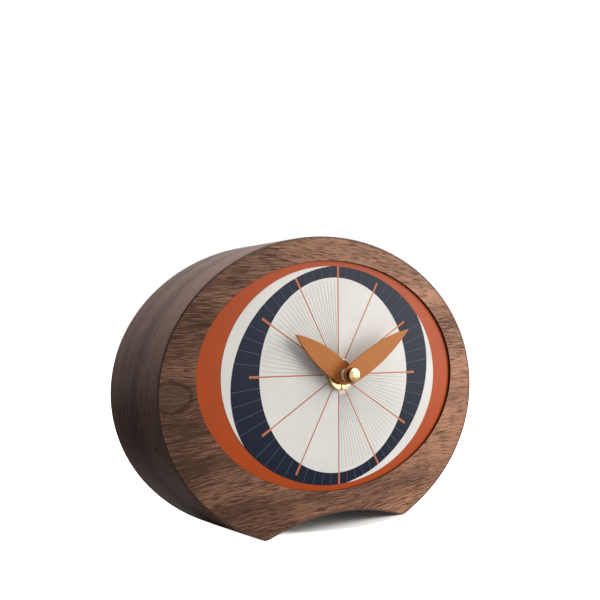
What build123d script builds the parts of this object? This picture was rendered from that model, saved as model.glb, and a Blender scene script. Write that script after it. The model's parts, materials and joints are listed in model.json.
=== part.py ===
from build123d import *
import os
from math import acos, atan2, cos, hypot, pi, radians, sin, sqrt

# Wooden desk clock with a quartz movement.
# Millimetres, +Z up, the dial faces -Y. The origin is on the surface that the clock stands on,
# midway across the case, and midway between the tip of the cap nut and the back of the case.

# Case
face_side_margin = 15.0    # wood left and right of the opening
face_end_margin = 16.0     # half of what the case's oval is taller than the opening
oval_sink = 6.7            # how far the oval's lowest point would reach below the feet
core_ply = 12.0            # one of three equal rings of board
core_rings = 3
face_veneer_t = 1.0
back_veneer_t = 1.0
side_veneer_t = 0.7
foot_flat = 1.6            # width of the flat tip of each foot
arch_height = 6.0
pocket_step = 2.0          # rear pocket beyond the ledge in front of it, all round
movement_room = 8.0        # from the movement's lower edge to the lowest point of the ledge

# Dial
dial_rise = 5.9            # dial centre above the centre of the case's oval
dial_shift = 1.0           # dial centre right of the case's middle
opening_stretch = 44.0     # opening wider than it is tall
dial_seat = 4.0            # how far the ledge reaches in from the opening's edge, all round
dial_lip = 3.0             # how far the plate reaches behind the face, all round
dial_plate_t = 3.0
dial_fit = 0.2             # clearance round the plate
dial_bore_fit = 0.15
ink_t = 0.1
line_t = 0.05
orange_side_margin = 11.2  # from the opening to the white oval
orange_end_margin = 2.2
crescent_w = 3.5           # from the white oval to the navy one, at its long ends
crescent_end_w = 0.3
navy_tilt = 17.9           # degrees, right end up
navy_band = 4.5            # least width of the navy ring
hour_line_gap = 0.6        # from the fixing nut
thin_line_w = 0.5
bold_line_w = 1.0
tick_w = 0.22
tick_margin = 0.3          # bare navy left at each end of a tick
ray_w = 0.16
ray_gap = 2.0              # from the fixing nut
ray_end_gap = 1.4          # from the navy ring
rays_per_hour = 10
hours = 12
minutes = 60

# Hands and the parts that hold them, from the dial towards the viewer
hand_t = 0.8
hour_hand_length = 31.0
hour_hand_half_w = 4.9
hour_hand_waist = 8.0      # from the hub to the widest place
minute_hand_length = 39.2
minute_hand_half_w = 4.55
minute_hand_waist = 11.0
hour_hand_angle = 302.7    # degrees clockwise from twelve
minute_hand_angle = 60.4
nut_r = 6.6
nut_t = 2.0
nut_slot_w = 0.8
nut_slot_depth = 0.7
nut_chamfer = 0.3
bush_r = 4.0
bush_proud = 0.6           # bush in front of its nut
bush_to_hour_hand = 0.9
pipe_proud = 2.5           # hour pipe in front of the hour hand
pipe_r = 2.5
pipe_fit = 0.1             # radial, between the pipe and the centre arbor
pipe_to_minute_hand = 0.8
arbor_r = 1.6
arbor_tip_r = 1.2
cap_r = 3.0
cap_body = 1.7
cap_dome = 0.7
cap_dimple_r = 0.35
cap_dimple_depth = 0.25
cap_wall = 0.7             # brass left in front of the arbor's tip
running_fit = 0.05         # radial, round what turns
thread_fit = 0.03          # radial, between screwed parts
push_fit = 0.02            # radial, between pressed parts
gasket_t = 1.0
gasket_r = 9.0

# Movement case, from its front wall backwards
move_wall = 1.2
setting_roof_gap = 0.56    # from the setting arbor's leaves to the roof
coil_floor_gap = 1.7       # from the coil's flanges to the floor
motion_room = 3.6          # front housing's inside depth
plate_t = 1.0
train_room = 9.5           # from the plate to the back wall
plate_fit = 0.2
post_r = 1.2
post_inset = 1.6
clip_w = 6.0
clip_t = 0.8
clip_reach = 3.0

# Gears. Module is pitch diameter over teeth.
train_module = 0.28
motion_module = 0.4
arbor_pass_gap = 0.312     # where the fifth arbor passes the centre wheel's teeth
centre_teeth = 64
third_teeth = 60
seconds_teeth = 40
fifth_teeth = 48
train_leaves = 8
motion_teeth = 30
cannon_leaves = 10
setting_leaves = 10
hour_teeth = 32
motion_leaves = 8
wheel_tooth_share = 0.46   # of the pitch
leaf_share = 0.36
wheel_addendum_share = 1.1     # of the module, as are the next four
wheel_dedendum_share = 1.4
leaf_dedendum_share = 1.6
leaf_shoulder_share = 0.35
leaf_top_share = 0.6
leaf_shoulder_width_share = 0.8
leaf_top_width_share = 0.4
flank_steps = 4
wheel_t = 0.8
pinion_over = 0.2          # pinion beyond each face of the wheel it meets
layer_gap = 0.4
pivot_r = 0.5
collar_r = 1.0
stem_r = 0.75              # between a wheel and its pinion
seconds_reach = 4.0        # how far the seconds arbor runs inside the centre arbor
friction_ring_r = 2.6
friction_ring_over = 0.2   # ring beyond each face of its wheel

# Motor
magnet_r = 2.5
magnet_t = 2.6
magnet_air = 0.4           # gap between magnet and stator
stator_t = 1.0
stator_rim = 1.0           # iron left of the rotor's hole
stator_to_pinion = 0.328   # from the stator to the fifth wheel's pinion
stator_side_gap = 0.96     # from the stator to the housing's inside
stator_leg_w = 2.6
stator_drop = 15.2
stator_slit = 0.5
stator_slit_len = 0.8
slit_bridge = 0.7          # iron left beyond each slit
stator_lead = 0.6          # stator's front face ahead of the seconds wheel's
leg_below_core = 0.6       # stator legs below the coil's core
core_half_h = 1.2
bobbin_wall = 0.6
flange_t = 0.7
flange_r = 3.5
winding_r = 3.2

# Electronics
board_w = 19.0
board_t = 1.0
board_side_gap = 0.6       # from the corner post
board_bottom_gap = 0.6
board_top_gap = 0.732      # from the centre wheel's teeth
chip_place_share = 0.7     # of the board's width
chip_r = 2.4
chip_t = 1.1
crystal_r = 1.0
crystal_len = 6.0

# AA cell and its contacts
cell_r = 7.0
cell_len = 49.0
sleeve_t = 0.15
button_r = 2.75
button_len = 1.3
cap_disc_t = 0.6
bay_clear = 0.35           # between sleeve and bay walls
contact_t = 0.4
plus_plate_t = 1.0
contact_w = 8.0
contact_leaf = 1.9         # how far the negative leaf stands off the wall

# Setting knob
knob_r = 5.0
knob_t = 3.0
knob_gap = 0.4
knob_flutes = 16
knob_flute_r = 0.5

overrun = 1.0              # how far cutters pass through what they cut

# Worked out from the sizes above. Arbor places are right of and above the centre arbor.
centre_outer_r = train_module * (centre_teeth / 2 + wheel_addendum_share)
third_distance = train_module * (centre_teeth + train_leaves) / 2
third_module = 2 * third_distance / (third_teeth + train_leaves)
fifth_distance = centre_outer_r + arbor_pass_gap + pivot_r
seconds_module = 2 * fifth_distance / (seconds_teeth + train_leaves)
stator_left = magnet_r + magnet_air + stator_rim
rotor_distance = seconds_module * (train_leaves / 2 + leaf_top_share) + stator_to_pinion + stator_left
fifth_module = 2 * rotor_distance / (fifth_teeth + train_leaves)
motion_distance = motion_module * (motion_teeth + cannon_leaves) / 2
hour_module = 2 * motion_distance / (hour_teeth + motion_leaves)
setting_distance = motion_module * (motion_teeth + setting_leaves) / 2
centre_at = (0, 0)
third_at = (-third_distance, 0)
fifth_at = (fifth_distance, 0)
rotor_at = (fifth_distance + rotor_distance, 0)
motion_at = (0, motion_distance)
setting_at = (0, motion_distance + setting_distance)

# Movement, across and up
coil_drop = stator_drop - leg_below_core - core_half_h
train_floor = -coil_drop - flange_r - coil_floor_gap
train_roof = setting_at[1] + motion_module * (setting_leaves / 2 + leaf_top_share) + setting_roof_gap
bay_r = cell_r + sleeve_t
bay_roof = train_floor - move_wall
cell_z = bay_roof - bay_clear - bay_r
bay_floor = cell_z - bay_r - bay_clear
move_above = train_roof + move_wall
move_below = move_wall - bay_floor
inside_x = (contact_t + contact_leaf + cell_len + button_len + plus_plate_t) / 2
half_move = inside_x + move_wall
stator_right = inside_x - stator_side_gap - rotor_at[0]
stator_half_h = magnet_r + magnet_air + stator_slit_len + slit_bridge
board_h = -train_floor - board_bottom_gap - board_top_gap - centre_outer_r

# Case and dial
ledge_height = 2 * (move_below + movement_room)
opening_height = ledge_height + 2 * dial_seat
opening_width = opening_height + opening_stretch
ledge_width = opening_width - 2 * dial_seat
pocket_width = ledge_width + 2 * pocket_step
pocket_height = ledge_height + 2 * pocket_step
case_width = opening_width + 2 * face_side_margin
case_oval_height = opening_height + 2 * face_end_margin
semi_w = case_width / 2
semi_h = case_oval_height / 2
case_centre_z = semi_h - oval_sink
case_depth = face_veneer_t + core_rings * core_ply + back_veneer_t
foot_tip_x = semi_w * sqrt(1 - (case_centre_z / semi_h) ** 2)
arch_half_span = foot_tip_x - foot_flat
arch_r = (arch_half_span ** 2 + arch_height ** 2) / (2 * arch_height)
dial_height = case_centre_z + dial_rise
white_width = opening_width - 2 * orange_side_margin
white_height = opening_height - 2 * orange_end_margin
navy_width = white_width - 2 * crescent_w
navy_height = white_height - 2 * crescent_end_w
centre_disc_r = navy_height / 2 - navy_band
hour_line_in_r = nut_r + hour_line_gap
hour_line_out_r = white_height / 2
ray_in_r = nut_r + ray_gap
ray_out_r = centre_disc_r - ray_end_gap
pipe_bore_r = arbor_r + pipe_fit

# Distances in front of the dial's face
nut_front = ink_t + nut_t
bush_front = nut_front + bush_proud
hour_hand_back = bush_front + bush_to_hour_hand
hour_hand_front = hour_hand_back + hand_t
pipe_front = hour_hand_front + pipe_proud
minute_hand_back = pipe_front + pipe_to_minute_hand
minute_hand_front = minute_hand_back + hand_t
cap_shoulder = minute_hand_front + cap_body
nose_front = cap_shoulder + cap_dome
face_y = (nose_front - face_veneer_t - case_depth) / 2
dial_y = face_y + face_veneer_t

# Depths behind the dial's face
housing_front = dial_plate_t + gasket_t
motion_front = housing_front + move_wall
plate_front = motion_front + motion_room
plate_back = plate_front + plate_t
wall_front = plate_back + train_room
housing_back = wall_front + move_wall
cell_depth = motion_front + bay_clear + bay_r

# Gear layers
hour_layer = motion_front + layer_gap / 2
motion_layer = hour_layer + wheel_t + 2 * pinion_over + layer_gap
centre_layer = plate_back + layer_gap
third_layer = centre_layer + wheel_t + 2 * pinion_over + layer_gap + pinion_over
seconds_layer = third_layer + wheel_t + 2 * pinion_over + layer_gap + pinion_over
fifth_layer = seconds_layer + wheel_t + 2 * pinion_over + layer_gap + pinion_over
stator_layer = seconds_layer - stator_lead


def slab(sketch, front, back, at=(0, 0)):
    """A sketch in the dial's plane, made solid between two depths behind the dial's face."""
    plane = Plane(origin=(dial_shift + at[0], dial_y + back, dial_height + at[1]),
                  x_dir=(1, 0, 0), z_dir=(0, -1, 0))
    return extrude(plane * sketch, amount=back - front)


def case_slab(sketch, front, back):
    """The same for a sketch drawn about the foot of the case, midway across it."""
    plane = Plane(origin=(0, dial_y + back, 0), x_dir=(1, 0, 0), z_dir=(0, -1, 0))
    return extrude(plane * sketch, amount=back - front)


def block(x0, x1, front, back, z0, z1):
    """A box given by its sides, measured from the centre arbor and the dial's face."""
    sketch = Pos((x0 + x1) / 2, (z0 + z1) / 2) * Rectangle(x1 - x0, z1 - z0)
    return slab(sketch, front, back)


def rod(radius, front, back, at=(0, 0)):
    """A round bar along the arbors' direction."""
    return slab(Circle(radius), front, back, at)


def rod_x(radius, x0, x1, depth, z):
    """A round bar along X."""
    plane = Plane(origin=(dial_shift + x0, dial_y + depth, dial_height + z), x_dir=(0, 1, 0), z_dir=(1, 0, 0))
    return extrude(plane * Circle(radius), amount=x1 - x0)


def case_outline(inset):
    """Front view of the case: an oval cut by the feet's level and by the arch between them."""
    oval = Pos(0, case_centre_z) * Ellipse(semi_w - inset, semi_h - inset)
    floor_line = Pos(0, inset + semi_h) * Rectangle(case_width, case_oval_height)
    arch = Pos(0, inset + arch_height - arch_r) * Circle(arch_r)
    return oval & floor_line - arch


def oval(width, height):
    return Ellipse(width / 2, height / 2)


# Case

def core_ring(index):
    """One ring of the hollow body. The front one has a rebate for the dial and a ledge behind it."""
    front = index * core_ply
    back = front + core_ply
    ring = case_slab(case_outline(side_veneer_t), front, back)
    if index == 0:
        plate_w = opening_width + 2 * (dial_lip + dial_fit)
        plate_h = opening_height + 2 * (dial_lip + dial_fit)
        ring -= slab(oval(plate_w, plate_h), front, dial_plate_t)
        return ring - slab(oval(ledge_width, ledge_height), front, back)
    return ring - slab(oval(pocket_width, pocket_height), front, back)


def face_veneer():
    sheet = case_slab(case_outline(side_veneer_t), -face_veneer_t, 0)
    return sheet - slab(oval(opening_width, opening_height), -face_veneer_t - overrun, overrun)


def back_veneer():
    front = core_rings * core_ply
    sheet = case_slab(case_outline(side_veneer_t), front, front + back_veneer_t)
    return sheet - slab(oval(pocket_width, pocket_height), front - overrun, front + back_veneer_t + overrun)


def side_wrap():
    """The veneer that goes right round the case: the bent side, and the strip under the arch."""
    front = -face_veneer_t
    back = front + case_depth
    wrap = case_slab(case_outline(0) - case_outline(side_veneer_t), front, back)
    strip_zone = Pos(0, case_centre_z / 2) * Rectangle(2 * arch_half_span, case_centre_z)
    zone = case_slab(strip_zone, front, back)
    return wrap - zone, wrap & zone


# Dial

def white_oval():
    return oval(white_width, white_height)


def navy_outline():
    return Rot(0, 0, navy_tilt) * oval(navy_width, navy_height) & white_oval()


def dial_plate():
    plate = slab(oval(opening_width + 2 * dial_lip, opening_height + 2 * dial_lip), 0, dial_plate_t)
    return plate - rod(bush_r + dial_bore_fit, -overrun, dial_plate_t + overrun)


def dial_white_crescents():
    return slab(white_oval() - navy_outline(), -ink_t, 0)


def dial_navy_ring():
    return slab(navy_outline() - Circle(centre_disc_r), -ink_t, 0)


def dial_centre_disc():
    return slab(Circle(centre_disc_r) - Circle(bush_r + dial_bore_fit), -ink_t, 0)


def radial_bar(angle, r_in, r_out, width):
    """A thin printed bar between two radii, at a clock angle in degrees."""
    bar = Pos(0, (r_in + r_out) / 2) * Rectangle(width, r_out - r_in)
    return slab(Rot(0, 0, -angle) * bar, -ink_t - line_t, -ink_t)


def hour_lines():
    bars = []
    for hour in range(hours):
        angle = hour * 360 / hours
        thin = radial_bar(angle, hour_line_in_r, centre_disc_r, thin_line_w)
        bold = radial_bar(angle, centre_disc_r, hour_line_out_r, bold_line_w)
        bars.append(thin + bold)
    return Compound(children=bars)


def oval_radius(width, height, tilt, angle):
    """Distance from an oval's centre to its edge, in a direction given as a clock angle."""
    turn = radians(90 - angle - tilt)
    return 1 / hypot(cos(turn) / (width / 2), sin(turn) / (height / 2))


def minute_ticks():
    bars = []
    for minute in range(minutes):
        if minute % (minutes // hours) == 0:
            continue
        angle = minute * 360 / minutes
        edge = min(oval_radius(white_width, white_height, 0, angle),
                   oval_radius(navy_width, navy_height, navy_tilt, angle))
        bars.append(radial_bar(angle, centre_disc_r + tick_margin, edge - tick_margin, tick_w))
    return Compound(children=bars)


def sunburst_lines():
    """Rays in the upper left and lower right quarters, between the hour lines."""
    bars = []
    quarter = hours // 4
    for first in (quarter, hours - quarter):
        for step in range(1, quarter * rays_per_hour):
            if step % rays_per_hour == 0:
                continue
            angle = first * 360 / hours + step * 360 / (hours * rays_per_hour)
            bars.append(radial_bar(angle, ray_in_r, ray_out_r, ray_w))
    return Compound(children=bars)


# Hands

def hand(length, half_w, waist, hole_r, angle, back):
    """A leaf: one large arc a side from tip to hub, and a round end about the hub."""
    side_r = ((length - waist) ** 2 + half_w ** 2) / (2 * half_w)
    hub_r = half_w - side_r + sqrt(side_r ** 2 - waist ** 2)
    right = ThreePointArc((0, length), (half_w, waist), (hub_r, 0))
    bottom = ThreePointArc((hub_r, 0), (0, -hub_r), (-hub_r, 0))
    left = ThreePointArc((-hub_r, 0), (-half_w, waist), (0, length))
    leaf = make_face([right, bottom, left]) - Circle(hole_r)
    return slab(Rot(0, 0, -angle) * leaf, -back - hand_t, -back)


def hour_hand():
    return hand(hour_hand_length, hour_hand_half_w, hour_hand_waist, pipe_r + push_fit,
                hour_hand_angle, hour_hand_back)


def minute_hand():
    return hand(minute_hand_length, minute_hand_half_w, minute_hand_waist, arbor_tip_r + push_fit,
                minute_hand_angle, minute_hand_back)


def turned(points):
    """A turned part about the centre arbor, from (radius, depth) points behind the dial's face."""
    plane = Plane(origin=(dial_shift, dial_y, dial_height), x_dir=(1, 0, 0), z_dir=(0, 0, 1))
    face = make_face(Polyline(*points, close=True))
    axis = Axis((dial_shift, dial_y, dial_height), (0, 1, 0))
    return revolve(plane * face, axis)


def cap_nut():
    """Domed nut on the arbor's tip, blind, with a small centre dimple in its dome."""
    tip_end = nose_front - cap_wall
    dome_r = (cap_r ** 2 + cap_dome ** 2) / (2 * cap_dome)
    body = rod(cap_r, -cap_shoulder, -minute_hand_front)
    ball_y = dial_y - nose_front + dome_r
    ball = Pos(dial_shift, ball_y, dial_height) * Sphere(dome_r)
    dome = rod(cap_r, -nose_front, -cap_shoulder) & ball
    dimple = turned([(0, -nose_front - overrun), (cap_dimple_r, -nose_front - overrun),
                     (cap_dimple_r, -nose_front), (0, -nose_front + cap_dimple_depth)])
    return body + dome - dimple - rod(arbor_tip_r + thread_fit, -tip_end, -minute_hand_front)


def fixing_nut():
    """Round nut with a slot each side for a pin key."""
    nut = turned([(bush_r + thread_fit, -ink_t), (nut_r, -ink_t), (nut_r, -nut_front + nut_chamfer),
                  (nut_r - nut_chamfer, -nut_front), (bush_r + thread_fit, -nut_front)])
    slot = block(-nut_slot_w / 2, nut_slot_w / 2, -nut_front - overrun, -nut_front + nut_slot_depth,
                 -nut_r - overrun, nut_r + overrun)
    return nut - slot


def gasket():
    return rod(gasket_r, dial_plate_t, housing_front) - rod(bush_r + push_fit, dial_plate_t, housing_front)


# Gear teeth

def wheel_outline(teeth, module, mate_leaves, phase):
    """Wheel teeth with radial feet and rolled tips that suit a pinion with radial leaves."""
    pitch_r = module * teeth / 2
    roller = module * mate_leaves / 4
    half = wheel_tooth_share * pi / teeth
    top_r = pitch_r + wheel_addendum_share * module
    reach = pitch_r + roller
    full = acos((reach ** 2 + roller ** 2 - top_r ** 2) / (2 * reach * roller))
    edge = [(pitch_r - wheel_dedendum_share * module, -half)]
    for step in range(flank_steps + 1):
        roll = full * step / flank_steps
        turn = roll * roller / pitch_r
        x = reach * cos(turn) - roller * cos(turn + roll)
        y = reach * sin(turn) - roller * sin(turn + roll)
        edge.append((hypot(x, y), atan2(y, x) - half))
    return ring_of_teeth(edge, teeth, phase)


def pinion_outline(leaves, module, phase):
    """Slim radial leaves with rounded tops."""
    pitch_r = module * leaves / 2
    half = leaf_share * pi / leaves
    edge = [(pitch_r - leaf_dedendum_share * module, -half), (pitch_r, -half),
            (pitch_r + leaf_shoulder_share * module, -half * leaf_shoulder_width_share),
            (pitch_r + leaf_top_share * module, -half * leaf_top_width_share)]
    return ring_of_teeth(edge, leaves, phase)


def ring_of_teeth(edge, count, phase):
    """Repeat one tooth's edge, given as (radius, angle) pairs, and its mirror image round a circle."""
    points = []
    for index in range(count):
        middle = radians(phase) + 2 * pi * index / count
        points += [(r * cos(middle + a), r * sin(middle + a)) for r, a in edge]
        points += [(r * cos(middle - a), r * sin(middle - a)) for r, a in reversed(edge)]
    return make_face(Polyline(*points, close=True))


def wheel(teeth, module, leaves, gap_angle, layer, at):
    """A wheel in its layer, with a gap between two teeth at gap_angle."""
    return slab(wheel_outline(teeth, module, leaves, gap_angle + 180 / teeth), layer, layer + wheel_t, at)


def pinion(leaves, module, leaf_angle, layer, at):
    """A pinion that meets the wheel in that layer, with a leaf at leaf_angle."""
    return slab(pinion_outline(leaves, module, leaf_angle), layer - pinion_over,
                layer + wheel_t + pinion_over, at)


# Hands' gearing, in front of the middle plate

def hour_wheel():
    """Wheel and pipe in one. The hour hand is pressed on the pipe's front end."""
    body = wheel(hour_teeth, hour_module, motion_leaves, 90, hour_layer, centre_at)
    body += rod(pipe_r, -pipe_front, hour_layer + wheel_t)
    return body - rod(pipe_bore_r, -pipe_front - overrun, hour_layer + wheel_t + overrun)


def centre_arbor():
    """Hollow arbor with the cannon pinion, a friction collar and the tip that carries the minute hand."""
    end = centre_layer + wheel_t
    body = rod(arbor_r, -minute_hand_back, end)
    body += rod(arbor_tip_r, -nose_front + cap_wall + running_fit, -minute_hand_back)
    body += pinion(cannon_leaves, motion_module, 90, motion_layer, centre_at)
    return body - rod(pivot_r + running_fit, end - seconds_reach - running_fit, end + overrun)


def motion_wheel():
    """Turns on the middle plate's and front housing's pivots, and gears the hour wheel down."""
    body = wheel(motion_teeth, motion_module, cannon_leaves, -90, motion_layer, motion_at)
    body += slab(pinion_outline(motion_leaves, hour_module, -90), hour_layer - pinion_over / 2,
                 motion_layer, motion_at)
    front = motion_front - move_wall / 2
    return body + rod(pivot_r, front, plate_front + plate_t / 2, motion_at)


def setting_arbor():
    """Runs from the motion wheel's layer out through the back wall."""
    body = pinion(setting_leaves, motion_module, -90, motion_layer, setting_at)
    body += rod(pivot_r, motion_front - move_wall / 2, motion_layer, setting_at)
    return body + rod(collar_r, motion_layer, housing_back + knob_gap + knob_t / 2, setting_at)


def setting_knob():
    """Fluted knob pressed on the setting arbor."""
    front = housing_back + knob_gap
    back = front + knob_t
    body = Circle(knob_r)
    for index in range(knob_flutes):
        body -= Rot(0, 0, index * 360 / knob_flutes) * Pos(knob_r, 0) * Circle(knob_flute_r)
    knob = slab(body, front, back, setting_at)
    return knob - rod(collar_r + push_fit, front - overrun, front + knob_t / 2, setting_at)


# Going train, behind the middle plate

def centre_wheel():
    """Wheel on a ring that grips the centre arbor and slips when the hands are set."""
    body = wheel(centre_teeth, train_module, train_leaves, 180, centre_layer, centre_at)
    body += rod(friction_ring_r, centre_layer - friction_ring_over, centre_layer + wheel_t + friction_ring_over)
    return body - rod(arbor_r + running_fit, centre_layer - overrun, centre_layer + wheel_t + overrun)


def train_arbor(at, front=None):
    """Slim arbor from the middle plate's pivot hole, or from front, to the back wall's."""
    if front is None:
        front = plate_front + plate_t / 2
    return rod(pivot_r, front, wall_front + move_wall / 2, at)


def third_wheel():
    body = wheel(third_teeth, third_module, train_leaves, 0, third_layer, third_at)
    body += pinion(train_leaves, train_module, 0, centre_layer, third_at)
    body += rod(stem_r, centre_layer, third_layer, third_at)
    return body + train_arbor(third_at)


def seconds_wheel():
    """Its arbor's front end turns inside the hollow centre arbor."""
    body = wheel(seconds_teeth, seconds_module, train_leaves, 0, seconds_layer, centre_at)
    body += pinion(train_leaves, third_module, 180, third_layer, centre_at)
    body += rod(stem_r, third_layer, seconds_layer, centre_at)
    return body + train_arbor(centre_at, centre_layer + wheel_t - seconds_reach)


def fifth_wheel():
    body = wheel(fifth_teeth, fifth_module, train_leaves, 0, fifth_layer, fifth_at)
    body += pinion(train_leaves, seconds_module, 180, seconds_layer, fifth_at)
    body += rod(stem_r, seconds_layer, fifth_layer, fifth_at)
    return body + train_arbor(fifth_at)


def rotor_pinion():
    body = pinion(train_leaves, fifth_module, 180, fifth_layer, rotor_at)
    return body + train_arbor(rotor_at)


def magnet_depths():
    middle = stator_layer + stator_t / 2
    return middle - magnet_t / 2, middle + magnet_t / 2


def rotor_magnet():
    front, back = magnet_depths()
    return rod(magnet_r, front, back, rotor_at) - rod(pivot_r + push_fit, front, back, rotor_at)


# Motor

def stator():
    """Soft iron yoke: a hole for the rotor, two slits beside it, and two legs down to the coil."""
    x = rotor_at[0]
    left, right = x - stator_left, x + stator_right
    back = stator_layer + stator_t
    yoke = block(left, right, stator_layer, back, -stator_half_h, stator_half_h)
    for x0 in (left, right - stator_leg_w):
        yoke += block(x0, x0 + stator_leg_w, stator_layer, back, -stator_drop, -stator_half_h)
    yoke -= rod(magnet_r + magnet_air, stator_layer, back, rotor_at)
    slit_reach = magnet_r + magnet_air + stator_slit_len
    return yoke - block(x - stator_slit / 2, x + stator_slit / 2, stator_layer, back, -slit_reach, slit_reach)


def coil_ends():
    """Inner sides of the stator's legs."""
    x = rotor_at[0]
    return x - stator_left + stator_leg_w, x + stator_right - stator_leg_w


def coil_core():
    x0, x1 = coil_ends()
    return block(x0, x1, stator_layer, stator_layer + stator_t, -coil_drop - core_half_h, -coil_drop + core_half_h)


def core_hole():
    """The space inside the bobbin, a push fit round the core."""
    x0, x1 = coil_ends()
    return block(x0 - overrun, x1 + overrun, stator_layer - push_fit, stator_layer + stator_t + push_fit,
                 -coil_drop - core_half_h - push_fit, -coil_drop + core_half_h + push_fit)


def coil_depth():
    return stator_layer + stator_t / 2


def bobbin_spool_r():
    return hypot(core_half_h, stator_t / 2) + bobbin_wall


def coil_bobbin():
    x0, x1 = coil_ends()
    x0, x1 = x0 + push_fit, x1 - push_fit
    spool = rod_x(bobbin_spool_r(), x0, x1, coil_depth(), -coil_drop)
    spool += rod_x(flange_r, x0, x0 + flange_t, coil_depth(), -coil_drop)
    spool += rod_x(flange_r, x1 - flange_t, x1, coil_depth(), -coil_drop)
    return spool - core_hole()


def coil_winding():
    x0, x1 = coil_ends()
    x0, x1 = x0 + push_fit + flange_t, x1 - push_fit - flange_t
    coil = rod_x(winding_r, x0, x1, coil_depth(), -coil_drop)
    return coil - rod_x(bobbin_spool_r(), x0, x1, coil_depth(), -coil_drop)


# Electronics, on the middle plate

def board_left():
    return -inside_x + post_inset + post_r + board_side_gap


def board_bottom():
    return train_floor + board_bottom_gap


def circuit_board():
    x0, z0 = board_left(), board_bottom()
    return block(x0, x0 + board_w, plate_back, plate_back + board_t, z0, z0 + board_h)


def timing_chip():
    """A round drop of black resin over the bare chip."""
    at = (board_left() + board_w * chip_place_share, board_bottom() + board_h / 2)
    front = plate_back + board_t
    dome_r = (chip_r ** 2 + chip_t ** 2) / (2 * chip_t)
    ball = Pos(dial_shift + at[0], dial_y + front + chip_t - dome_r, dial_height + at[1]) * Sphere(dome_r)
    return rod(chip_r, front, front + chip_t, at) & ball


def quartz_crystal():
    x0 = board_left() + crystal_r
    return rod_x(crystal_r, x0, x0 + crystal_len, plate_back + board_t + crystal_r,
                 board_bottom() + board_h / 2)


# Movement case

def corner_posts(front, back):
    """Four posts that hold the middle plate at its corners."""
    posts = None
    for x in (-inside_x + post_inset, inside_x - post_inset):
        for z in (train_floor + post_inset, train_roof - post_inset):
            post = rod(post_r, front, back, (x, z))
            posts = post if posts is None else posts + post
    return posts


def front_housing():
    """Shallow tray that closes the movement's front and carries the bush."""
    tray = block(-half_move, half_move, housing_front, plate_front, -move_below, move_above)
    tray -= block(-inside_x, inside_x, motion_front, plate_front, train_floor, train_roof)
    tray -= block(-inside_x, inside_x, motion_front, plate_front, bay_floor, bay_roof)
    tray += corner_posts(motion_front, plate_front)
    tray -= rod(bush_r + push_fit, housing_front - overrun, motion_front + overrun)
    for at in (motion_at, setting_at):
        tray -= rod(pivot_r + running_fit, motion_front - move_wall / 2 - running_fit,
                    motion_front + overrun, at)
    return tray


def back_housing():
    """Deep cover with the open battery bay below the train, and two clips that reach forward."""
    cover = block(-half_move, half_move, plate_front, housing_back, -move_below, move_above)
    cover -= block(-inside_x, inside_x, plate_front, wall_front, train_floor, train_roof)
    cover -= block(-inside_x, inside_x, plate_front, housing_back, bay_floor, bay_roof)
    cover += corner_posts(plate_back, wall_front)
    for x0 in (-half_move - clip_t, half_move):
        cover += block(x0, x0 + clip_t, plate_front - clip_reach, plate_front + clip_reach,
                       -clip_w / 2, clip_w / 2)
    for at in (third_at, centre_at, fifth_at, rotor_at):
        cover -= rod(pivot_r + running_fit, wall_front - overrun, wall_front + move_wall / 2 + running_fit, at)
    return cover - rod(collar_r + running_fit, wall_front - overrun, housing_back + overrun, setting_at)


def centre_bush():
    """Threaded tube through the dial. The fixing nut on it clamps the dial to the movement."""
    tube = rod(bush_r, -bush_front, motion_front)
    return tube - rod(pipe_r + running_fit, -bush_front - overrun, motion_front + overrun)


def middle_plate():
    """Plastic bridge between the hands' gearing and the going train, with two bosses for the stator."""
    edge = inside_x - plate_fit
    plate = block(-edge, edge, plate_front, plate_back, train_floor + plate_fit, train_roof - plate_fit)
    plate -= rod(arbor_r + running_fit, plate_front - overrun, plate_back + overrun)
    for at in (motion_at, third_at, fifth_at, rotor_at):
        plate -= rod(pivot_r + running_fit, plate_front - overrun, plate_back + overrun, at)
    plate -= rod(collar_r + running_fit, plate_front - overrun, plate_back + overrun, setting_at)
    x0, x1 = coil_ends()
    for x in (x0 - stator_leg_w / 2, x1 + stator_leg_w / 2):
        plate += rod(post_r, plate_back, stator_layer, (x, -stator_drop + post_inset))
    return plate


# AA cell and contacts

def cell_left():
    return -inside_x + contact_t + contact_leaf


def battery_can():
    return rod_x(cell_r, cell_left(), cell_left() + cell_len - cap_disc_t, cell_depth, cell_z)


def battery_cap():
    """Positive end: a flat disc with the button."""
    end = cell_left() + cell_len
    disc = rod_x(cell_r, end - cap_disc_t, end, cell_depth, cell_z)
    return disc + rod_x(button_r, end, end + button_len, cell_depth, cell_z)


def battery_sleeve():
    x0, x1 = cell_left(), cell_left() + cell_len
    return rod_x(bay_r, x0, x1, cell_depth, cell_z) - rod_x(cell_r, x0, x1, cell_depth, cell_z)


def contact_positive():
    """Flat plate on the bay's wall, touched by the button."""
    x1 = inside_x
    x0 = cell_left() + cell_len + button_len
    return block(x0, x1, cell_depth - contact_w / 2, cell_depth + contact_w / 2,
                 cell_z - contact_w / 2, cell_z + contact_w / 2)


def contact_negative():
    """Bent leaf that presses on the can's flat end."""
    root = -inside_x
    tip = root + contact_t + contact_leaf
    half = contact_w / 2
    points = [(root, -half), (root + contact_t, -half), (root + contact_t, half - 2 * contact_t),
              (tip - contact_t, 0), (tip, 0), (tip, contact_t), (root + 2 * contact_t, half), (root, half)]
    plane = Plane(origin=(dial_shift, dial_y + cell_depth + half, dial_height + cell_z),
                  x_dir=(1, 0, 0), z_dir=(0, -1, 0))
    return extrude(plane * make_face(Polyline(*points, close=True)), amount=contact_w)


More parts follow.
